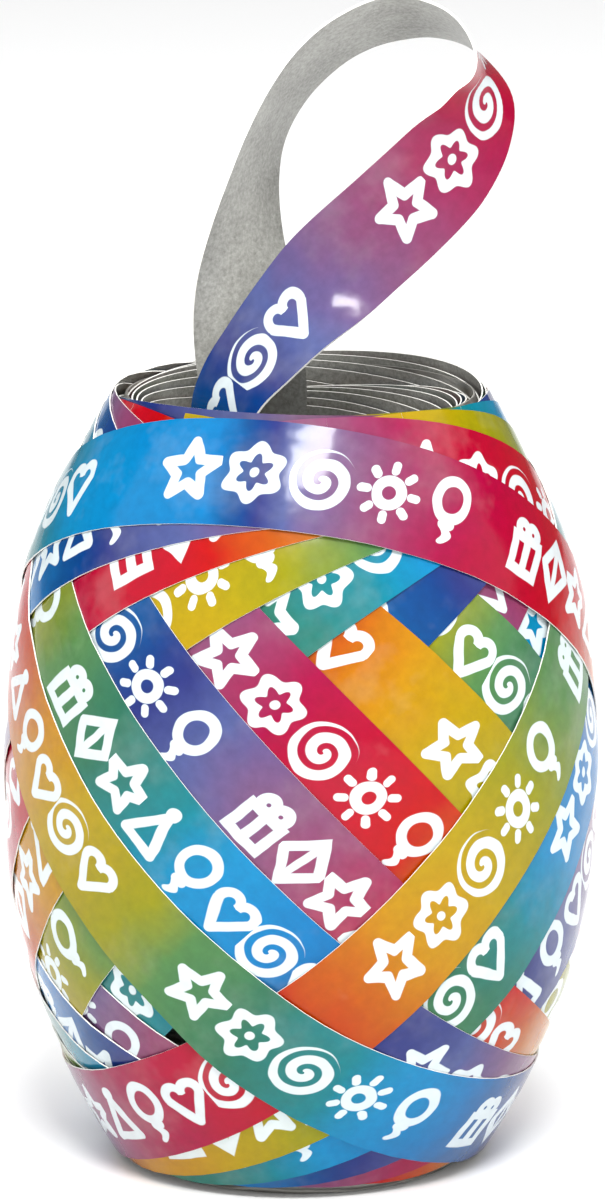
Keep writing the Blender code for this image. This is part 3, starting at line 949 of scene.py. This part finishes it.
def smooth_path(path, count):
    """Even stations on a smooth curve through the path's points and directions."""
    given = np.array([(*p, *w) for p, w in path])
    knots = np.concatenate([[0], np.cumsum(np.linalg.norm(np.diff(given[:, :3], axis=0), axis=1))])
    slopes = np.gradient(given, knots, axis=0)
    fine = np.linspace(0, knots[-1], CURVE_POINTS)
    k = np.clip(np.searchsorted(knots, fine) - 1, 0, len(knots) - 2)
    gap = (knots[k + 1] - knots[k])[:, None]
    t = (fine - knots[k])[:, None] / gap
    curve = (
        given[k] * (2 * t**3 - 3 * t**2 + 1)
        + slopes[k] * gap * (t**3 - 2 * t**2 + t)
        + given[k + 1] * (3 * t**2 - 2 * t**3)
        + slopes[k + 1] * gap * (t**3 - t**2)
    )
    for _ in range(CURVE_ROUNDS):
        curve[1:-1] = curve[1:-1] * 0.5 + (curve[:-2] + curve[2:]) * 0.25
    run = np.concatenate([[0], np.cumsum(np.linalg.norm(np.diff(curve[:, :3], axis=0), axis=1))])
    even = np.linspace(0, run[-1], count)
    found = np.stack([np.interp(even, run, curve[:, c]) for c in range(6)], axis=1)
    centre, width = found[:, :3], found[:, 3:]
    along = np.gradient(centre, axis=0)
    along /= np.linalg.norm(along, axis=1, keepdims=True)
    width -= along * (width * along).sum(1, keepdims=True)
    width /= np.linalg.norm(width, axis=1, keepdims=True)
    return centre, width, even


LOOP_THICKNESS = 0.00022
COLOUR_AT_FRONT_LEG = 0.60
LOOP_DRAWING_SHIFT = 5.15
ACROSS = np.linspace(-1, 1, 7)[None, :, None] * RIBBON_WIDTH / 2


def loop_strip(centre, width, run, loop_length):
    """A strip whose print runs from the front leg's foot up and over to the back leg's."""
    grid = centre[:, None] + ACROSS * width[:, None]
    left = (loop_length - run) / RIBBON_WIDTH
    u = left + FIRST_PRINT_PLACE / 10 + LOOP_DRAWING_SHIFT
    return grid, u, left * RIBBON_WIDTH / COLOUR_PERIOD + COLOUR_AT_FRONT_LEG


def leg_strip(y, top, bottom, run_start, loop_length):
    """A straight leg whose print runs on from the loop's."""
    heights = np.linspace(top, bottom, LEG_STATIONS)
    centre = np.stack([np.full_like(heights, LEG_X), np.full_like(heights, y), heights], axis=1)
    width = np.tile([-1.0, 0.0, 0.0], (LEG_STATIONS, 1))
    return loop_strip(centre, width, run_start + np.abs(heights - heights[0]), loop_length)


centre, width, run = smooth_path(LOOP_PATH, LOOP_STATIONS)
loop_length = float(run[-1])
loop = ribbon_piece(
    "ribbon_loop", [loop_strip(centre, width, run, loop_length)], LOOP_THICKNESS, side=0.0
)
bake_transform(loop)
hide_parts("hanging_loop")

back_top, front_top = float(centre[0, 2]), float(centre[-1, 2])
back = leg_strip(LEG_BACK_Y, LEG_BOTTOM, back_top, back_top - LEG_BOTTOM, loop_length)
front = leg_strip(float(centre[-1, 1]), front_top, LEG_BOTTOM, loop_length, loop_length)
legs = ribbon_piece("loop_legs", [back, front], LOOP_THICKNESS, side=0.0)
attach(legs, "loop_feed")
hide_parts("loop_leg_back", "loop_leg_front")

print("loop length in mm:", round(loop_length / MM, 1))

# %% [markdown]
# ## What stays from the CAD model
#
# Two CAD nodes stay as they are and only get a finish. The wound pack is the mass of ribbon
# under the visible turns: stacked film edges show as fine rings on its ends and in its hollow.
# The glue dot that holds the two legs together is clear and slightly yellow.

# %% Wound pack and glue
EDGE_PITCH = 0.00034
EDGE_WAVER = 0.0012


def wound_film_material():
    material, tree, shader = new_material("wound_film")
    place = object_place(tree)
    x, y, z = axes(tree, place)
    radius = (x * x + y * y).math("SQRT")
    waver = noise(tree, place, 90.0, 2.0) * EDGE_WAVER
    layer = (radius * 0.75 + z * 0.25 + waver) / EDGE_PITCH
    ridge = layer.math("PINGPONG", 0.5) * 2.0
    two_tones(tree, shader, ridge, linear(88, 86, 82), linear(150, 148, 142), end=0.86)
    shader.inputs["Roughness"].default_value = 0.5
    add_bump(tree, shader, ridge, 0.6, 0.0003)
    return material


def glue_material():
    material, tree, shader = new_material("clear_glue")
    tone = noise(tree, object_place(tree), 700.0)
    two_tones(tree, shader, tone, linear(205, 196, 160), linear(232, 226, 200))
    shader.inputs["Roughness"].default_value = 0.15
    shader.inputs["Transmission Weight"].default_value = 0.6
    shader.inputs["IOR"].default_value = 1.48
    return material


for node, material in (("wound_pack", wound_film_material()), ("glue_dot", glue_material())):
    carried = bpy.data.objects[node]
    carried.data.materials.clear()
    carried.data.materials.append(material)
    print(node, "is finished with", material.name)

# %% [markdown]
# ## Floor and light
#
# Glossy film shows what it mirrors, so the light is mostly large and soft: a white tent in
# front and at the sides, dimmer behind. One smaller lamp, high in front, draws the bright glint
# on the top wrap. The floor is plain and nearly white.

# %% Floor
bpy.ops.object.select_all(action="DESELECT")
bpy.ops.mesh.primitive_plane_add(size=6, location=(0, 0, -0.0001))
floor = bpy.context.active_object
floor.name = "floor"
floor_paint, tree, shader = new_material("pale_floor")
shader.inputs["Base Color"].default_value = (0.93, 0.93, 0.93, 1)
shader.inputs["Roughness"].default_value = 0.7
floor.data.materials.append(floor_paint)
print("floor side in m:", round(floor.dimensions.x, 1))

# %% Studio light
TENT_LIGHT, BACK_LIGHT = 1.05, 0.16
LAMP_AIM = Vector((0, 0, 0.05))

studio = bpy.data.worlds.new("studio")
bpy.context.scene.world = studio
studio.use_nodes = True
tree = studio.node_tree
background = tree.nodes["Background"]
direction = tree.nodes.new("ShaderNodeTexCoord").outputs["Generated"]
x, y, _ = axes(tree, direction)
flat = (x * x + y * y).math("SQRT").most(0.001)
frontness = y * -1.0 / flat
tent = frontness.ease(-0.24, -0.14)
strength = tent * TENT_LIGHT + BACK_LIGHT
tree.links.new(strength.socket, background.inputs["Strength"])
background.inputs["Color"].default_value = (1, 1, 1, 1)
view = bpy.context.scene.view_settings
view.view_transform = "Standard"


def soft_lamp(name, place, width, height, power):
    lamp = bpy.data.lights.new(name, "AREA")
    lamp.shape = "RECTANGLE"
    lamp.size, lamp.size_y = width, height
    lamp.energy = power
    holder = bpy.data.objects.new(name, lamp)
    bpy.context.scene.collection.objects.link(holder)
    holder.location = place
    holder.rotation_mode = "QUATERNION"
    holder.rotation_quaternion = (Vector(place) - LAMP_AIM).to_track_quat("Z", "Y")
    return holder


soft_lamp("top_softbox", (0.0, 0.1, 0.9), 1.2, 1.2, 7.5)
soft_lamp("glint_lamp", (0.03, -0.42, 0.52), 0.20, 0.12, 3.6)
print("lamps:", [lamp.name for lamp in bpy.data.lights])
